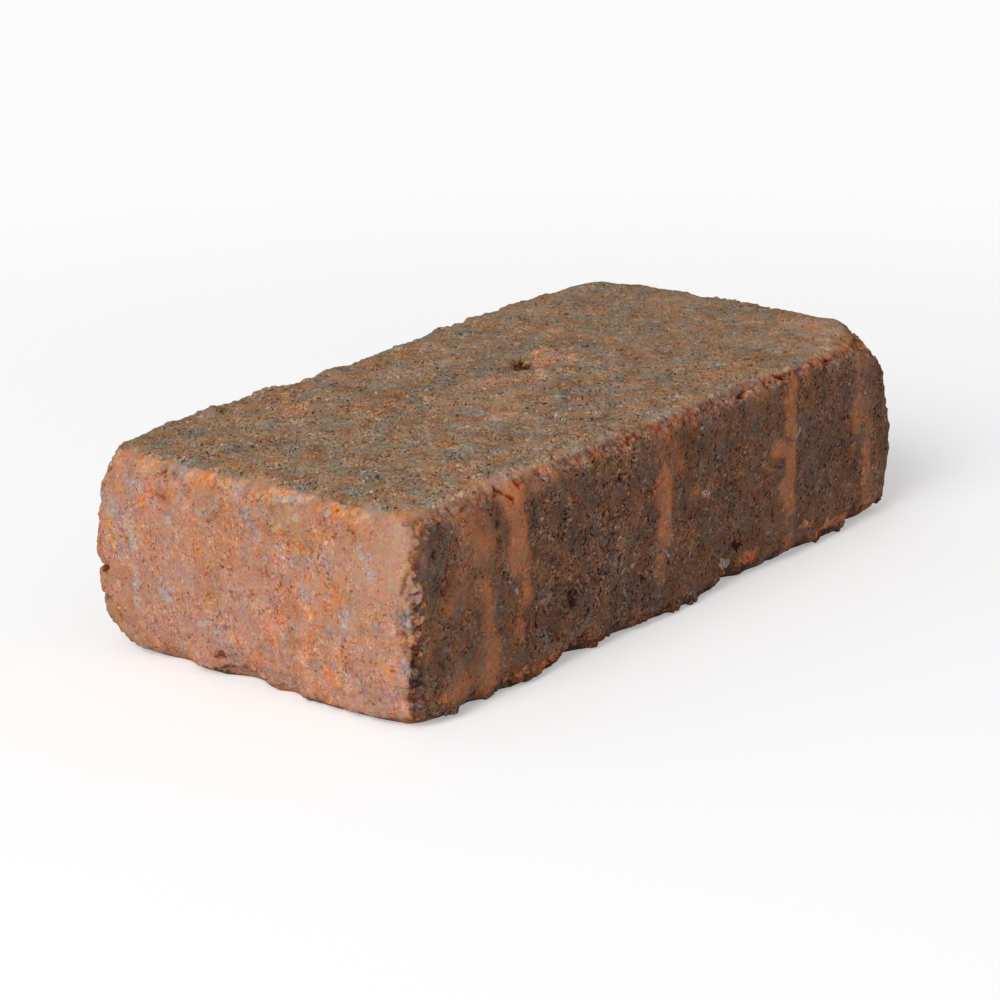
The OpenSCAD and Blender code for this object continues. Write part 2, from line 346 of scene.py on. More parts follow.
# The relief in mm, inwards. An arris starts out fuller than the solid, because its crumbs take from it.
SWELL_DEPTH = 0.1
LUMP_DEPTH = 0.14
GRAIN_DEPTH = 0.14
GRIT_DEPTH = 0.12
CRUMB_DEPTH = 0.85
CRUMB_GRIT_DEPTH = 0.15
RUBBED_RISE = 0.1
ARRIS_RISE = 0.5
BED_ARRIS_RISE = 0.25
FRONT_BED_ARRIS_RISE = 0.6
BACK_TOP_ARRIS_RISE = 0.35
fullness = ARRIS_RISE + near_bed * (BED_ARRIS_RISE + FRONT_BED_ARRIS_RISE * on_front)
fullness += BACK_TOP_ARRIS_RISE * near_top * (y > 0.0)
open_side = on_front * (1.0 - rubbed)
depth = (SWELL_DEPTH * (swell + 0.6)
         + LUMP_DEPTH * (lump + 0.3) * (0.5 + arris)
         + rough * (GRAIN_DEPTH * grain + GRIT_DEPTH * grit)
         + bruised * (CRUMB_DEPTH * gap + CRUMB_GRIT_DEPTH * grit)
         + small_pits * (0.2 + 0.5 * open_side + 0.5 * arris)
         + large_pits * (0.1 + 0.25 * open_side + 0.5 * arris)
         - fullness * arris * (1.0 - 0.7 * smooth_arris)
         - lumps
         - RUBBED_RISE * rubbed
         + holes)
depth *= 1.0 - on_bed

# Creases, pits and holes, and the notches along the top arris, which get painted shade: a darker and redder
# tint in the colour where shade falls in them
MOST_RECESS_SHADE = 1.3
creased = 0.25 * ramp(0.6, 1.0, crease) + 0.3 * ramp(0.6, 1.0, fine_crease)
creased += 0.3 * ramp(0.5, 1.0, notch_crease)
creased += 0.45 * near_top * ramp(0.72, 0.85, notch) * ramp(-0.2, 0.2, lump)
recess_shade = 0.7 * small_pits * (0.4 + arris) + 0.5 * large_pits * (0.25 + arris)
recess_shade += 0.75 * bruised * creased
recess_shade += 0.7 * holes
recess_shade = np.clip(recess_shade, 0.0, MOST_RECESS_SHADE)

# The skin is pushed in and out, and stays inside the box of the solid
points -= outward * depth[:, None]
points = np.clip(points, (LEFT, FRONT, BED), (RIGHT, BACK, TOP))
skin.vertices.foreach_set("co", (points * MM).astype(np.float32).ravel())
skin.update()
for face in skin.polygons:
    face.use_smooth = True

# The colours of the concrete, as patches with their share, reach and where each lies or runs. Ember
# is the bright orange of the worn arrises and lone grains.
EMBER = [(0.85, 1.6, on_end(-8.6, 36.0)), (0.4, 3.5, on_end(34.0, 36.5), on_end(12.0, 37.5)),
         (0.4, 3.5, on_end(8.0, 38.0), on_end(-6.0, 38.0)),
         (0.44, 3.5, on_end(3.0, 33.0), on_end(-18.0, 32.0)),
         (0.4, 3.5, on_end(-22.0, 30.0), on_end(-24.0, 24.0)),
         (0.42, 4.5, on_end(-13.0, 22.0), on_end(-22.0, 16.0)),
         (0.48, 5.5, on_end(-8.0, 12.0), on_end(-23.0, 10.0)),
         (0.42, 3.5, on_end(7.0, 10.0), on_end(-4.0, 7.0)),
         (0.42, 2.5, on_end(-36.0, 26.0), on_end(-34.0, 22.0)),
         (0.7, 3.0, on_end(38.0, 31.0), on_end(36.0, 24.0)), (0.7, 1.4, on_end(-16.5, 32.0)),
         (0.6, 1.5, on_end(-16.0, 3.6)), (0.6, 1.3, on_end(-5.0, 5.5)),
         (0.6, 1.0, on_end(30.0, 43.0), on_end(22.0, 43.0)),
         (0.6, 1.0, on_end(-27.0, 16.0), on_end(-29.0, 15.0)),
         (0.65, 4.2, (LEFT, FRONT + 3.6, 28.0), (LEFT, FRONT + 3.6, 3.0)),
         (0.75, 2.0, (LEFT, FRONT, 23.0)), (0.9, 1.9, on_side(-80.0, 5.4)),
         (0.85, 1.9, on_side(25.5, 5.0), on_side(29.0, 4.4)),
         (0.75, 1.1, on_side(46.5, 6.4), on_side(52.0, 6.2)), (0.6, 1.4, on_side(-53.6, 19.5)),
         (0.55, 1.2, on_side(70.0, 27.0)), (0.6, 1.6, on_side(44.0, 40.5)),
         (0.55, 0.9, on_side(5.0, 25.4), on_side(7.5, 25.4)), (0.5, 1.6, on_side(-14.0, 28.0)),
         (0.45, 1.5, on_side(-17.5, 26.5)), (0.5, 1.2, on_side(0.0, 42.4), on_side(6.0, 43.0)),
         (0.6, 1.6, on_side(74.5, 4.6)), (0.5, 1.2, on_side(-38.0, 40.4)),
         (0.5, 1.0, on_side(60.0, 16.0)), (0.45, 1.0, on_side(55.0, 16.0)),
         (0.5, 1.8, on_side(61.0, 41.4)), (0.5, 1.5, on_side(-19.0, 3.4)),
         (1.0, 3.6, on_wear(15.5, 3.6), on_wear(23.0, 9.0)),
         (0.6, 2.6, on_wear(18.0, -1.0), on_wear(24.0, 2.0)),
         (0.8, 1.8, on_wear(5.0, -2.4), on_wear(10.0, 1.0)),
         (0.7, 1.4, on_side(53.0, 3.4), on_side(66.0, 4.2)),
         (0.45, 1.3, on_side(-60.0, 3.0), on_side(-30.0, 3.0)), (0.5, 1.4, on_wear(21.0, 24.4)),
         (0.5, 1.6, on_wear(29.0, -24.0)), (0.6, 2.2, on_wear(62.0, -40.4)),
         (0.45, 1.6, on_wear(60.5, -3.4), on_wear(57.0, -8.0)), (0.5, 1.5, on_wear(-65.0, 10.0)),
         (0.4, 1.5, on_wear(-67.0, -17.0)), (0.42, 2.4, on_wear(-57.0, -32.0), on_wear(-52.0, -31.0)),
         (0.45, 1.8, on_wear(8.5, -38.0)), (0.55, 1.4, on_wear(-84.6, 35.0)),
         (0.5, 1.2, on_wear(-85.2, 26.0))]
# Tan is what is smooth and light, brown what is warm and dull, and both have soft outlines
TAN = [(0.85, 5.5, on_wear(-23.0, -15.0)), (0.45, 5.0, on_wear(-38.0, -13.0), on_wear(-8.0, -7.0)),
       (0.95, 6.5, on_wear(76.0, -25.0)), (0.65, 5.0, on_wear(62.0, -38.0), on_wear(72.0, -30.0)),
       (0.85, 2.6, on_wear(-64.0, -40.4), on_wear(-50.0, -40.4)),
       (0.5, 2.4, on_wear(-85.0, -39.5), on_wear(-66.0, -40.6)),
       (0.55, 5.0, on_wear(0.0, 0.0), on_wear(-8.0, 5.0)),
       (0.45, 2.0, on_wear(-48.0, -40.6), on_wear(40.0, -40.6)), (0.45, 4.0, on_wear(57.0, -22.0)),
       (0.5, 7.0, on_end(-36.0, 38.0), on_end(-33.0, 33.0)),
       (0.55, 5.0, on_end(-27.0, 20.0), on_end(-32.0, 20.0)), (0.4, 5.0, on_end(-25.0, 12.0)),
       (0.35, 3.0, on_side(-73.0, 38.0), on_side(-67.0, 33.0)),
       (0.3, 1.6, on_side(-48.0, 43.0), on_side(62.0, 43.0))]
BROWN = [(0.75, 6.5, on_wear(-44.0, 24.0)), (0.6, 4.5, on_wear(-48.0, 34.0), on_wear(-38.0, 32.0)),
         (0.55, 5.5, on_wear(-35.0, 12.0), on_wear(-25.0, 14.0)),
         (0.45, 3.5, on_wear(-5.0, 32.0), on_wear(0.0, 34.0)), (0.45, 2.6, on_wear(42.0, 37.0)),
         (0.45, 4.5, on_wear(20.0, -32.0), on_wear(46.0, -33.0)),
         (0.5, 4.5, on_wear(-60.0, -33.0), on_wear(-50.0, -31.0)),
         (0.4, 5.0, on_wear(-82.0, 14.0), on_wear(-83.0, -8.0)), (0.35, 5.0, on_wear(20.0, 30.0)),
         (0.4, 4.0, on_wear(30.0, -10.0), on_wear(50.0, -12.0)), (0.75, 5.0, on_side(-72.0, 38.0)),
         (0.6, 4.5, on_side(-73.0, 31.0), on_side(-66.0, 31.0)),
         (0.55, 5.0, on_side(-78.0, 24.0), on_side(-68.0, 24.0)), (0.5, 3.6, on_side(-62.0, 28.0)),
         (0.45, 4.0, on_side(-78.0, 8.0), on_side(-62.0, 7.0)),
         (0.4, 2.6, on_side(-2.0, 37.0), on_side(0.0, 33.0)), (0.35, 4.0, on_side(-16.0, 27.0)),
         (0.4, 2.6, on_side(60.0, 41.0), on_side(76.0, 38.0)),
         (0.35, 3.0, on_side(-50.0, 5.0), on_side(-30.0, 5.0)),
         (0.45, 3.5, on_side(74.0, 30.0), on_side(76.0, 8.0)),
         (0.3, 3.0, on_side(54.0, 6.0), on_side(68.0, 7.0)),
         (0.4, 2.0, on_side(-46.0, 41.0), on_side(34.0, 41.0))]
# Pale is the lilac and blue grey of bare sand grains and of lime bloom
PALE = [(0.6, 1.6, on_end(31.5, 28.0), on_end(30.0, 25.0)),
        (0.65, 1.2, on_end(29.5, 20.0), on_end(30.0, 12.0)),
        (0.6, 1.4, on_end(23.5, 18.0), on_end(22.0, 15.0)),
        (0.75, 0.8, on_end(13.4, 11.4), on_end(10.6, 12.2)), (0.85, 0.8, on_end(17.6, 28.9)),
        (0.8, 0.9, on_end(-13.8, 39.0)), (0.85, 0.9, on_end(-19.0, 37.3)),
        (0.75, 0.8, on_end(-22.0, 41.4)), (0.6, 0.8, on_end(-8.0, 41.8), on_end(-12.0, 42.2)),
        (0.65, 0.8, on_end(-16.0, 30.0)), (0.6, 0.8, on_end(-27.4, 23.0), on_end(-25.6, 18.0)),
        (0.55, 1.1, on_end(-29.0, 8.4)), (0.5, 0.9, on_end(-30.0, 12.6)), (0.6, 0.9, on_end(-10.0, 4.2)),
        (0.5, 1.1, on_end(14.0, 4.4)), (0.42, 3.0, on_end(-30.0, 36.0), on_end(-33.0, 31.0)),
        (0.4, 3.0, on_end(20.0, 32.0)), (0.55, 1.1, on_end(-36.5, 14.0)), (0.4, 2.2, on_end(-13.0, 9.6)),
        (0.35, 3.0, on_end(34.0, 13.0)), (0.6, 2.2, (LEFT, FRONT + 3.5, 17.0), (LEFT, FRONT + 3.0, 8.0)),
        (0.9, 0.8, on_side(7.5, 24.4), on_side(10.0, 23.8)), (0.7, 0.8, on_side(21.6, 17.0)),
        (0.5, 0.8, on_side(-39.0, 25.0), on_side(-39.5, 17.0)),
        (0.6, 0.8, on_side(43.6, 28.2), on_side(45.6, 29.4)), (0.7, 0.7, on_side(65.5, 35.0)),
        (0.6, 0.8, on_side(52.0, 14.5)), (0.6, 0.8, on_side(-57.5, 21.5)), (0.5, 1.0, on_side(7.5, 39.0)),
        (0.7, 1.2, on_side(15.5, 6.5), on_side(19.0, 5.4)),
        (0.4, 1.2, on_side(-21.0, 15.0), on_side(-17.0, 15.0)), (0.5, 0.9, on_side(-5.5, 14.2)),
        (0.45, 0.8, on_side(-74.5, 6.0)), (0.5, 0.7, on_side(49.0, 15.0)),
        (0.4, 1.2, on_side(33.0, 12.0)), (0.85, 0.9, on_wear(-54.0, 19.5)),
        (0.5, 1.1, on_wear(20.0, 22.4)), (0.36, 3.0, on_wear(-13.0, 6.0)),
        (0.4, 1.8, on_wear(33.0, -2.0)), (0.4, 1.6, on_wear(32.0, -33.0)),
        (0.36, 2.0, on_wear(-25.0, 24.0)), (0.36, 2.0, on_wear(-70.0, -20.0))]
# Green grey, which tints what it lies on, and dark marks, which darken it: some are dark grains, and some
# are painted shade over holes and pits and down the near upright
GREEN = [(0.85, 0.9, on_end(-4.6, 41.0)), (0.5, 1.8, on_end(30.0, 38.0)),
         (0.5, 1.8, on_end(36.5, 34.0), on_end(35.5, 31.0)),
         (0.5, 2.4, on_end(-15.0, 25.0), on_end(-20.0, 22.0)),
         (0.42, 2.0, on_end(5.0, 39.0), on_end(-6.0, 38.6)), (0.55, 1.1, on_end(-26.0, 12.0)),
         (0.5, 2.2, on_end(-29.0, 19.0)), (0.45, 1.4, on_end(-9.0, 6.4)),
         (0.45, 1.8, on_end(-16.0, 37.6)), (0.5, 1.2, on_end(-42.0, 31.0)), (0.5, 1.0, on_end(-5.0, 5.6)),
         (0.65, 2.0, on_side(-71.0, 18.0)), (0.5, 2.0, on_side(-82.0, 26.0)),
         (0.5, 1.8, on_side(-68.0, 28.0)), (0.42, 5.5, on_side(33.0, 12.0)),
         (0.55, 1.2, on_side(44.5, 11.0)), (0.5, 1.4, on_side(-75.5, 38.6)),
         (0.45, 1.4, on_side(-26.0, 42.0)), (0.42, 1.4, on_side(46.0, 8.6)),
         (0.4, 4.0, on_side(16.0, 17.0)), (0.42, 7.0, on_wear(52.0, 20.0)),
         (0.42, 5.0, on_wear(27.0, 36.0)), (0.36, 7.0, on_wear(-52.0, 27.0)),
         (0.42, 4.5, on_wear(-32.0, -22.0)), (0.4, 5.0, on_wear(17.0, -9.0)),
         (0.42, 3.6, on_wear(-60.0, 12.0)), (0.42, 5.5, on_wear(-70.0, -8.0)),
         (0.4, 3.6, on_wear(-18.0, 8.0)), (0.4, 6.0, on_wear(-82.0, -22.0))]
DARK_SPOTS_AND_SHADE = [(0.4, 0.9, (LEFT + 2.0, FRONT + 2.5, 26.0), (LEFT + 1.6, FRONT + 3.5, 16.0)),
        (0.7, 1.3, on_end(-28.3, 38.5)), (0.55, 1.0, on_end(20.0, 36.5), on_end(23.0, 36.8)),
        (0.42, 1.6, on_end(-8.5, 40.0)), (0.5, 1.1, on_end(-41.0, 32.0), on_end(-40.5, 29.0)),
        (0.55, 1.8, on_end(-39.5, 24.0), on_end(-41.0, 14.0)), (0.6, 1.0, on_end(-4.6, 41.0)),
        (0.42, 2.0, on_end(-33.0, 9.0), on_end(-36.0, 5.0)), (0.42, 1.2, on_end(7.0, 6.2)),
        (0.4, 1.8, on_end(30.0, 6.0), on_end(36.0, 9.0)),
        (0.3, 6.0, on_side(-80.5, 36.0), on_side(-80.0, 31.0)), (0.5, 4.5, on_side(-81.0, 14.0)),
        (0.5, 1.5, on_side(-61.6, 33.0)), (0.42, 2.0, on_side(-59.0, 22.0)),
        (0.5, 1.4, on_side(-61.4, 8.4)), (0.5, 1.3, on_side(-5.2, 12.6)), (0.4, 2.6, on_side(-3.0, 8.0)),
        (0.5, 2.4, on_side(18.0, 9.0), on_side(23.0, 8.0)), (0.5, 1.2, on_side(-55.0, 8.0)),
        (0.4, 3.0, on_side(-75.0, 13.0)), (0.5, 1.2, on_wear(-18.0, -24.0)),
        (0.42, 2.4, on_wear(12.0, 20.0)), (0.4, 1.4, on_wear(-27.0, 17.5)),
        (0.42, 1.4, on_wear(15.0, 19.5)), (0.4, 2.4, on_wear(-60.0, 4.0)),
        (0.5, 1.3, on_wear(-33.0, 37.0), on_wear(-36.0, 35.0)),
        (0.4, 3.0, on_wear(0.0, -15.0), on_wear(-16.0, -21.0)),
        (0.42, 3.0, on_wear(-34.0, 8.0), on_wear(-16.0, 9.0)), (0.42, 4.0, on_wear(10.0, -29.0)),
        (0.4, 8.0, on_wear(62.0, 30.0)), (0.45, 1.6, on_wear(56.0, 32.0))]


def stained(marks):
    """The share that the strongest of some marks gives each point"""
    return np.max([share * np.exp(-(away_from(path) / reach) ** 2) for share, reach, *path in marks], 0)


# The pale end's colour stops in a ragged line along the near upright, and is pinker at its top. On the
# sides out of sight it fades out just past the end, and they are clouded with brown.
patchy = wave(17.0, 81.0)
past_upright = x - LEFT - 0.8 * (y - FRONT)
end_side = 1.0 - ramp(-1.6, 1.8, past_upright + 2.5 * weave + 2.5 * grit - 1.0 * worst_edge)
unseen = (1.0 - on_front) * (1.0 - on_top) * (1.0 - on_left)
mottle = ramp(-0.35, 0.5, wave(34.0, 93.0) + 0.3 * patchy + 0.3 * lump)
past_end = ramp(2.0, 9.0, x - LEFT + 4.0 * weave)
end_tint = np.maximum(on_left * end_side, 0.8 * unseen * (1.0 - past_end))
pink_edge = end_side * np.exp(-(away_from([on_end(-42.0, 42.0), on_end(-36.0, 32.0)]) / 7.0) ** 2)

# Worn arrises and some of their crumbs are ember, and others pale or green grey
worn_arris = arris * (0.3 + 0.14 * near_top + 0.26 * smooth_arris - 0.15 * near_bed * on_front)
ember = np.maximum(stained(EMBER), worn_arris)
ember_crumbs = bruised * (fine_crumb > 0.2) * (fine_crumb < 0.45) * (1.0 - 0.6 * near_bed * on_front)
ember = np.maximum(ember, 0.8 * ember_crumbs) * (1.0 - 0.85 * pink_edge)
pale_crumbs = 0.7 * bruised * (fine_crumb < 0.16) * np.maximum(end_tint, 0.3 * near_top)
pale = np.maximum(1.4 * stained(PALE), pale_crumbs)
green_crumbs = 0.4 * bruised * (fine_crumb > 0.9) * (1.0 - 0.7 * worst_edge)
green = np.maximum(stained(GREEN), green_crumbs)

# The top arrises are tan, which comes down over the long side in teeth
tan = np.maximum(stained(TAN), 0.7 * arris * near_top * (1.0 - 0.6 * lost) * (1.0 - on_left))
teeth = 1.0 - ramp(0.4, 1.2, (TOP - z) - 1.0 - 4.0 * notch * ramp(0.2, 0.5, patchy + 0.6))
tan = np.maximum(tan, 0.6 * teeth * on_front * (1.0 - on_left))
tan = np.maximum(tan, 0.9 * pink_edge)
brown = np.maximum(stained(BROWN), 0.8 * unseen * mottle)

# How strong the light and dark of the grain are, which changes along the stone and is less where it is
# worn smooth, and how far its hues swing
smooth = np.clip(rubbed + 0.8 * pink_edge + 0.6 * arris * smooth_arris + 0.5 * stained(TAN), 0.0, 1.0)
strength = 1.0 - 0.2 * ramp(-20.0, 0.0, x) * on_front - 0.2 * ramp(10.0, 80.0, x)
strength -= 0.1 * on_top * ramp(-60.0, 40.0, x)
strength -= 0.3 * on_front * (1.0 - ramp(-64.0, -50.0, x))
strength += 0.25 * on_front * ramp(40.0, 60.0, x)
gritty = np.maximum(0.53, np.maximum(0.9 * on_top, 0.92 * on_front) * (1.0 - on_left))
gritty = gritty * (1.0 - 0.5 * smooth) * strength
restless = np.where(on_left > 0.5, 0.6 + 2.0 * np.minimum(ember, 0.55), 0.95 + 0.2 * on_top)
restless = restless * (1.0 - 0.4 * pink_edge)

# What the material below reads at each point of the skin
measures = {"end_tint": end_tint, "top_tint": on_top, "ember_tint": ember, "tan_tint": tan,
            "brown_tint": brown, "pale_tint": pale, "green_tint": green, "dark_and_shade_tint": stained(DARK_SPOTS_AND_SHADE),
            "rubbed": rubbed, "recess_shade": recess_shade, "grit": gritty, "restless": restless,
            "front": on_front * (1.0 - on_left)}
for name, value in measures.items():
    skin.attributes.new(name, "FLOAT", "POINT").data.foreach_set("value", value.astype(np.float32))

# The concrete. It is mixed from colours as they look on a screen, and turned into what reflects
# light by the gamma at the end.
SCREEN_GAMMA = 2.2
COVER = 0.85
DARK_AND_SHADE_COVER = 0.8
RECESS_SHADE_COVER = 0.95
GRAIN_RUN_X = 0.787
GRAIN_RUN_Y = 0.617
GRAIN_STRETCH = 2.4
COARSE_SWING = 0.52
FINE_SWING = 0.32
HUE_SWING = 0.26
LIGHT_SPECKS = 0.14
DARK_SPECKS = 0.2
FINE_HEIGHT = 0.18
COARSE_HEIGHT = 0.45
GRAIN_HEIGHT = 0.5 * MM
ROUGHNESS = 0.92
SPECULAR = 0.25
concrete = bpy.data.materials.new("tumbled_concrete")
concrete.use_nodes = True
tree = concrete.node_tree
tree.nodes.clear()


def paint(r, g, b):
    """A colour as it looks on a screen, each part from 0 to 255"""
    return (r / 255.0, g / 255.0, b / 255.0, 1.0)


SALMON = paint(180, 127, 97)
PINK_SALMON = paint(184, 133, 111)
CHARCOAL = paint(112, 81, 64)
WARM_CHARCOAL = paint(121, 88, 69)
OLIVE = paint(148, 121, 97)
SANDY_OLIVE = paint(160, 127, 99)
ORANGE = paint(192, 135, 97)
PEACH = paint(204, 150, 119)
RUST = paint(190, 112, 74)
DULL_BROWN = paint(172, 116, 84)
LIGHT_TAN = paint(188, 141, 115)
RUBBED_ORANGE = paint(177, 113, 79)
LILAC_GREY = paint(176, 157, 149)
# These three multiply the colour that they lie on
GREEN_GREY_WASH = (0.94, 1.12, 1.22, 1.0)
# Dark grains, and painted shade over holes, pits and the near upright
DARK_AND_SHADE_WASH = paint(176, 160, 150)
# Painted shade for the creases, pits, holes and notches
RECESS_SHADE_WASH = paint(128, 72, 46)


def fill_in(socket, value):
    """Links another node to a socket of the tree at hand, or sets the socket to a plain value"""
    if isinstance(value, bpy.types.NodeSocket):
        tree.links.new(value, socket)
    else:
        socket.default_value = value


def put(kind, settings=None, **sockets):
    """Adds a node to the tree at hand, with its settings and what goes into its sockets"""
    made = tree.nodes.new(kind)
    for name, value in (settings or {}).items():
        setattr(made, name, value)
    for name, value in sockets.items():
        fill_in(made.inputs[name.replace("_", " ")], value)
    return made


def measure(name):
    """Reads one of the measures above"""
    return put("ShaderNodeAttribute", {"attribute_name": name}).outputs["Fac"]


def sums(operation, a, b):
    """Works out one value from two"""
    made = put("ShaderNodeMath", {"operation": operation})
    fill_in(made.inputs[0], a)
    fill_in(made.inputs[1], b)
    return made.outputs["Value"]


def between(value, start, end, to_start=0.0, to_end=1.0):
    """Turns smoothly from one value to another between a start and an end"""
    made = put("ShaderNodeMapRange", {"interpolation_type": "SMOOTHSTEP"}, Value=value,
               From_Min=start, From_Max=end, To_Min=to_start, To_Max=to_end)
    return made.outputs["Result"]


def blend(share, under, over, way="MIX"):
    """Lays a share of one colour over another"""
    made = put("ShaderNodeMix", {"data_type": "RGBA", "blend_type": way})
    fill_in([s for s in made.inputs if s.name == "Factor" and s.type == "VALUE"][0], share)
    fill_in([s for s in made.inputs if s.name == "A" and s.type == "RGBA"][0], under)
    fill_in([s for s in made.inputs if s.name == "B" and s.type == "RGBA"][0], over)
    return [s for s in made.outputs if s.type == "RGBA"][0]


where = put("ShaderNodeTexCoord").outputs["Object"]
in_mm = put("ShaderNodeVectorMath", {"operation": "SCALE"}, Vector=where, Scale=1.0 / MM).outputs["Vector"]


def share_along(direction):
    """How far along a direction a place lies, in mm"""
    made = put("ShaderNodeVectorMath", {"operation": "DOT_PRODUCT"})
    fill_in(made.inputs[0], in_mm)
    fill_in(made.inputs[1], direction)
    return made.outputs["Value"]


# On the wearing face the grain is drawn out along one diagonal
on_top_here = measure("top_tint")
off_top = sums("SUBTRACT", 1.0, on_top_here)
across_grain = share_along((GRAIN_RUN_Y, -GRAIN_RUN_X, 0.0))
along_grain = share_along((GRAIN_RUN_X / GRAIN_STRETCH, GRAIN_RUN_Y / GRAIN_STRETCH, 0.0))
drawn = put("ShaderNodeCombineXYZ", None, X=across_grain, Y=along_grain).outputs["Vector"]


def cloud(pitch, seed, detail, roughness=0.5, places=None):
    """Noise with its clouds a pitch in mm apart"""
    moved = put("ShaderNodeVectorMath", {"operation": "ADD"})
    fill_in(moved.inputs[0], places or in_mm)
    fill_in(moved.inputs[1], (137.0 * seed, 71.0 * seed, 29.0 * seed))
    made = put("ShaderNodeTexNoise", None, Vector=moved.outputs["Vector"], Scale=1.0 / pitch, Detail=detail,
               Roughness=roughness)
    return made.outputs["Fac"]


def grain_of(pitch, seed, detail=0.0, roughness=0.5):
    """Noise that is drawn out along one diagonal of the wearing face, and even on the other faces"""
    beside = sums("MULTIPLY", cloud(pitch, seed, detail, roughness), off_top)
    return sums("ADD", beside, sums("MULTIPLY", cloud(pitch, seed, detail, roughness, drawn), on_top_here))


def swing(strength, pitch, seed, detail=0.0, roughness=0.5):
    """Noise about nought"""
    return sums("MULTIPLY", sums("SUBTRACT", cloud(pitch, seed, detail, roughness), 0.5), strength)


def crumbled(share, pitch, seed, strength=1.6, soft=0.1):
    """A share of the surface as crumbs of a pitch, rather than as an even tint"""
    return between(sums("ADD", share, swing(strength, pitch, seed, 3.0, 0.6)), 0.5 - soft, 0.5 + soft)


def soften(share, pitch, seed):
    """A share of the surface as a cloudy tint"""
    return between(sums("ADD", share, swing(0.5, pitch, seed, 3.0, 0.6)), 0.05, 1.0)


# The blend of the two pressed colours, the wearing face and the bright ember of worn arrises, which
# is rusty on the long side
salmon = blend(between(cloud(14.0, 1.0, 3.0), 0.4, 0.6), SALMON, PINK_SALMON)
charcoal = blend(between(cloud(10.0, 3.0, 3.0), 0.4, 0.6), CHARCOAL, WARM_CHARCOAL)
olive = blend(between(cloud(16.0, 4.0, 4.0, 0.55), 0.4, 0.6), OLIVE, SANDY_OLIVE)
bright = blend(between(cloud(2.2, 6.0, 2.0), 0.4, 0.62), ORANGE, PEACH)
bright = blend(measure("front"), bright, RUST)

# The faces first, then the patches and marks that lie on them
colour = blend(crumbled(measure("end_tint"), 2.5, 7.0, 0.8), charcoal, salmon)
colour = blend(crumbled(measure("top_tint"), 2.0, 8.0, 0.6, 0.4), colour, olive)
colour = blend(soften(measure("brown_tint"), 4.0, 21.0), colour, DULL_BROWN)
colour = blend(soften(measure("tan_tint"), 4.0, 22.0), colour, LIGHT_TAN)
colour = blend(crumbled(measure("rubbed"), 1.8, 10.0, 0.9, 0.5), colour, RUBBED_ORANGE)
ember_here = crumbled(measure("ember_tint"), 1.9, 9.0)
colour = blend(sums("MULTIPLY", ember_here, COVER), colour, bright)
pale_here = crumbled(measure("pale_tint"), 1.4, 11.0, 1.2)
colour = blend(sums("MULTIPLY", pale_here, COVER), colour, LILAC_GREY)
green_here = crumbled(measure("green_tint"), 2.0, 23.0, 1.4, 0.2)
colour = blend(sums("MULTIPLY", green_here, COVER), colour, GREEN_GREY_WASH, "MULTIPLY")
# Dark grains, and painted shade laid over the holes, pits and the near upright
dark_and_shade_here = crumbled(measure("dark_and_shade_tint"), 1.5, 24.0, 1.2, 0.25)
colour = blend(sums("MULTIPLY", dark_and_shade_here, DARK_AND_SHADE_COVER), colour, DARK_AND_SHADE_WASH, "MULTIPLY")
# Painted shade: creases, pits, holes and the top arris notches are darkened and reddened in colour
recess_shade_here = between(measure("recess_shade"), 0.1, 1.0, 0.0, RECESS_SHADE_COVER)
colour = blend(recess_shade_here, colour, RECESS_SHADE_WASH, "MULTIPLY")

# The grain. It makes the colour lighter and darker in grey, with light and dark specks, and swings it
# towards blue, red and green.
grit_here = measure("grit")
restless_here = measure("restless")
dark_speck = between(grain_of(0.8, 12.0, 1.0), 0.4, 0.34)
light_speck = between(grain_of(0.9, 14.0, 1.0), 0.62, 0.68)
light_speck = sums("MULTIPLY", light_speck, LIGHT_SPECKS)
specks = sums("SUBTRACT", light_speck, sums("MULTIPLY", dark_speck, DARK_SPECKS))
coarse_grey = sums("SUBTRACT", grain_of(3.6, 15.0, 3.0, 1.0), 0.5)
coarse_grey = sums("MULTIPLY", coarse_grey, COARSE_SWING)
fine_grey = sums("SUBTRACT", grain_of(0.42, 16.0), 0.5)
fine_grey = sums("MULTIPLY", fine_grey, FINE_SWING)
grey = sums("ADD", coarse_grey, fine_grey)
gathered = between(cloud(4.0, 31.0, 3.0, 0.8), 0.35, 0.65, 0.4, 1.5)
grey = sums("MULTIPLY", sums("ADD", grey, specks), gathered)
grey = sums("ADD", grey, swing(0.1, 8.0, 26.0, 1.0))
grey = sums("MULTIPLY", grey, grit_here)
fine_blue = sums("MULTIPLY", swing(0.14, 1.4, 27.0), off_top)
blue = sums("ADD", swing(HUE_SWING, 5.6, 17.0, 1.0, 0.9), fine_blue)
blue = sums("MULTIPLY", blue, restless_here)
blue = sums("MULTIPLY", blue, sums("SUBTRACT", 1.0, sums("MULTIPLY", measure("front"), 0.55)))
fine_red = sums("MULTIPLY", swing(0.12, 1.4, 28.0), off_top)
red = sums("ADD", swing(HUE_SWING, 5.2, 18.0, 1.0, 0.9), fine_red)
red = sums("MULTIPLY", red, restless_here)
green = sums("ADD", sums("MULTIPLY", blue, 0.5), sums("MULTIPLY", red, 0.1))
green = sums("ADD", green, swing(0.1, 1.6, 25.0))
change = put("ShaderNodeCombineColor", None, Red=sums("ADD", grey, red), Green=sums("ADD", grey, green),
             Blue=sums("SUBTRACT", sums("ADD", grey, blue), sums("MULTIPLY", red, 0.45)))
colour = blend(1.0, colour, change.outputs["Color"], "ADD")
colour = put("ShaderNodeGamma", None, Color=colour, Gamma=SCREEN_GAMMA).outputs["Color"]

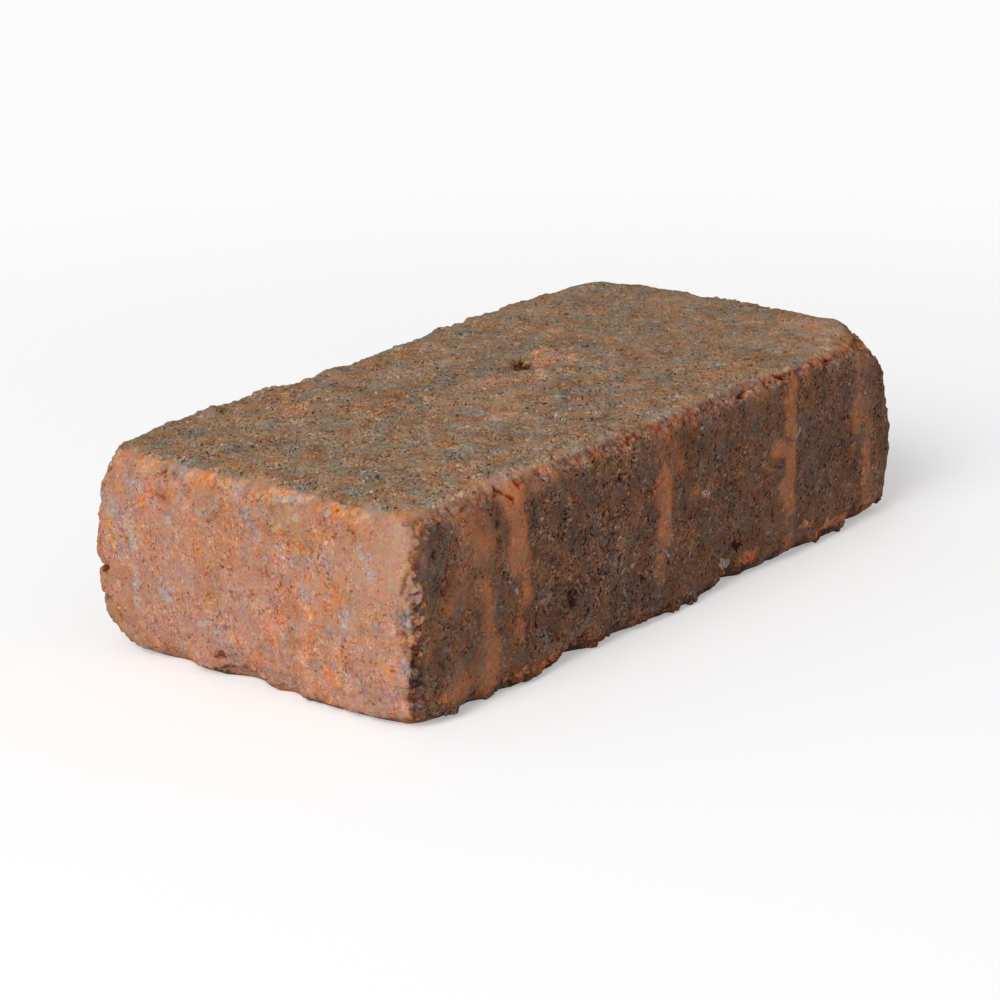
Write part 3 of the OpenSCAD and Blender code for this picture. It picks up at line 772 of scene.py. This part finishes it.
# The finest grain is too small for the net, and is bump alone
height = sums("MULTIPLY", grain_of(0.55, 19.0, 2.0, 0.6), FINE_HEIGHT)
height = sums("ADD", height, sums("MULTIPLY", grain_of(1.4, 20.0, 2.0), COARSE_HEIGHT))
height = sums("MULTIPLY", height, sums("ADD", grit_here, 0.2))
relief = put("ShaderNodeBump", None, Height=height, Strength=1.0, Distance=GRAIN_HEIGHT)
surface = put("ShaderNodeBsdfPrincipled", None, Base_Color=colour, Roughness=ROUGHNESS,
              Specular_IOR_Level=SPECULAR, Normal=relief.outputs["Normal"])
put("ShaderNodeOutputMaterial", None, Surface=surface.outputs["BSDF"])
skin.materials.append(concrete)

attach(stone, "root")
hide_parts("paving_stone")

# The floor. A plain pale board that the stone lies on, lit as the stone is. What the camera sees of
# it is lifted towards white, and wholly so away from the stone, so that only the shadow is left.
FLOOR_REACH = 4.0
FLOOR_SHADE = (0.86, 0.86, 0.86, 1.0)
FLOOR_LIFT = 0.33
SHADOW_REACH = 0.14
WHITE_FROM = 0.42
WHITE_STRENGTH = 0.97
WHITE = (1.0, 1.0, 1.0, 1.0)
board = bpy.data.meshes.new("floor")
board.from_pydata([(-FLOOR_REACH, -FLOOR_REACH, 0), (FLOOR_REACH, -FLOOR_REACH, 0),
                   (FLOOR_REACH, FLOOR_REACH, 0), (-FLOOR_REACH, FLOOR_REACH, 0)], [], [(0, 1, 2, 3)])
floor = bpy.data.objects.new("floor", board)
bpy.context.scene.collection.objects.link(floor)
floor_paint = bpy.data.materials.new("floor_paint")
floor_paint.use_nodes = True
tree = floor_paint.node_tree
tree.nodes.clear()
matt = put("ShaderNodeBsdfDiffuse", None, Color=FLOOR_SHADE)
seen = put("ShaderNodeLightPath").outputs["Is Camera Ray"]
glow = put("ShaderNodeEmission", None, Color=WHITE, Strength=FLOOR_LIFT)
both = put("ShaderNodeAddShader")
tree.links.new(matt.outputs["BSDF"], both.inputs[0])
tree.links.new(glow.outputs["Emission"], both.inputs[1])
plain = put("ShaderNodeEmission", None, Color=WHITE, Strength=WHITE_STRENGTH)
spot = put("ShaderNodeTexCoord").outputs["Object"]
from_stone = put("ShaderNodeVectorMath", {"operation": "LENGTH"}, Vector=spot).outputs["Value"]
fading = put("ShaderNodeMixShader", None, Fac=between(from_stone, SHADOW_REACH, WHITE_FROM))
tree.links.new(both.outputs["Shader"], fading.inputs[1])
tree.links.new(plain.outputs["Emission"], fading.inputs[2])
pick = put("ShaderNodeMixShader", None, Fac=seen)
tree.links.new(matt.outputs["BSDF"], pick.inputs[1])
tree.links.new(fading.outputs["Shader"], pick.inputs[2])
put("ShaderNodeOutputMaterial", None, Surface=pick.outputs["Shader"])
board.materials.append(floor_paint)

# The light. A broad soft lamp stands off the stone's left end and a little to the front, so that
# the end is brightest, the top is half lit and the long side lies in shade. A pale room fills in.
ROOM_LIGHT = 0.37
KEY_FROM = Vector((-0.8, -0.105, 0.59)).normalized()
KEY_AWAY = 2.6
KEY_SIZE = 1.65
KEY_POWER = 44.0
room = bpy.data.worlds.new("room")
room.use_nodes = True
tree = room.node_tree
tree.nodes.clear()
seen = put("ShaderNodeLightPath").outputs["Is Camera Ray"]
fill = put("ShaderNodeBackground", None, Color=WHITE, Strength=ROOM_LIGHT)
backdrop = put("ShaderNodeBackground", None, Color=WHITE, Strength=1.0)
pick = put("ShaderNodeMixShader", None, Fac=seen)
tree.links.new(fill.outputs["Background"], pick.inputs[1])
tree.links.new(backdrop.outputs["Background"], pick.inputs[2])
put("ShaderNodeOutputWorld", None, Surface=pick.outputs["Shader"])
bpy.context.scene.world = room
key = bpy.data.lights.new("key", "AREA")
key.shape = "DISK"
key.size = KEY_SIZE
key.energy = KEY_POWER
key_lamp = bpy.data.objects.new("key", key)
key_lamp.location = KEY_FROM * KEY_AWAY
key_lamp.rotation_euler = KEY_FROM.to_track_quat("Z", "Y").to_euler()
bpy.context.scene.collection.objects.link(key_lamp)

# The camera. It looks down on the near left corner, along the long dark side and the pale end.
AZIMUTH = math.radians(-51.89)
ELEVATION = math.radians(17.89)
ROLL = math.radians(-0.81)
DISTANCE = 0.71439
PAN_RIGHT = -0.00403
PAN_UP = 0.016
LENS = 116.33
SENSOR_WIDTH = 36.0
back = Vector((math.sin(AZIMUTH) * math.cos(ELEVATION), -math.cos(AZIMUTH) * math.cos(ELEVATION),
               math.sin(ELEVATION)))
level = Vector((math.cos(AZIMUTH), math.sin(AZIMUTH), 0.0))
upright = back.cross(level)
right = math.cos(ROLL) * level + math.sin(ROLL) * upright
up = math.cos(ROLL) * upright - math.sin(ROLL) * level
eye = back * DISTANCE + right * PAN_RIGHT + up * PAN_UP
lens = bpy.data.cameras.new("camera")
lens.sensor_width = SENSOR_WIDTH
lens.lens = LENS
camera = bpy.data.objects.new("camera", lens)
camera.matrix_world = Matrix.Translation(eye) @ Matrix((right, up, back)).transposed().to_4x4()
bpy.context.scene.collection.objects.link(camera)
bpy.context.scene.camera = camera
bpy.context.scene.view_settings.view_transform = "Standard"
